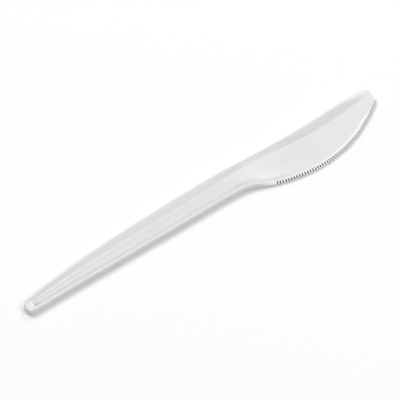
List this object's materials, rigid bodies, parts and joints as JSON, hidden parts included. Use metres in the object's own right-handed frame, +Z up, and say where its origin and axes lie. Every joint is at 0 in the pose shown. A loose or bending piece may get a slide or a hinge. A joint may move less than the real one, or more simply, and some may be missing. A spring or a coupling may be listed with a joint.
{
  "type": "disposable plastic knife",
  "caption": "One-piece white moulded plastic table knife with a long fluted, ribbed handle, an open-backed hollow grip and a flat, finely serrated, curved blade that sits just clear of the table.",
  "frame": {"origin": "middle of the knife's bounding box, on the table it lies on", "axes": "+X from the butt of the handle to the tip of the blade, +Y towards the blunt spine, +Z up out of the decorated face"},
  "size_m": [0.1658, 0.021, 0.0029],
  "materials": {
    "white_plastic": "satin moulded white plastic"
  },
  "bodies": {
    "root": {"knife": "white_plastic"}
  },
  "joints": []
}
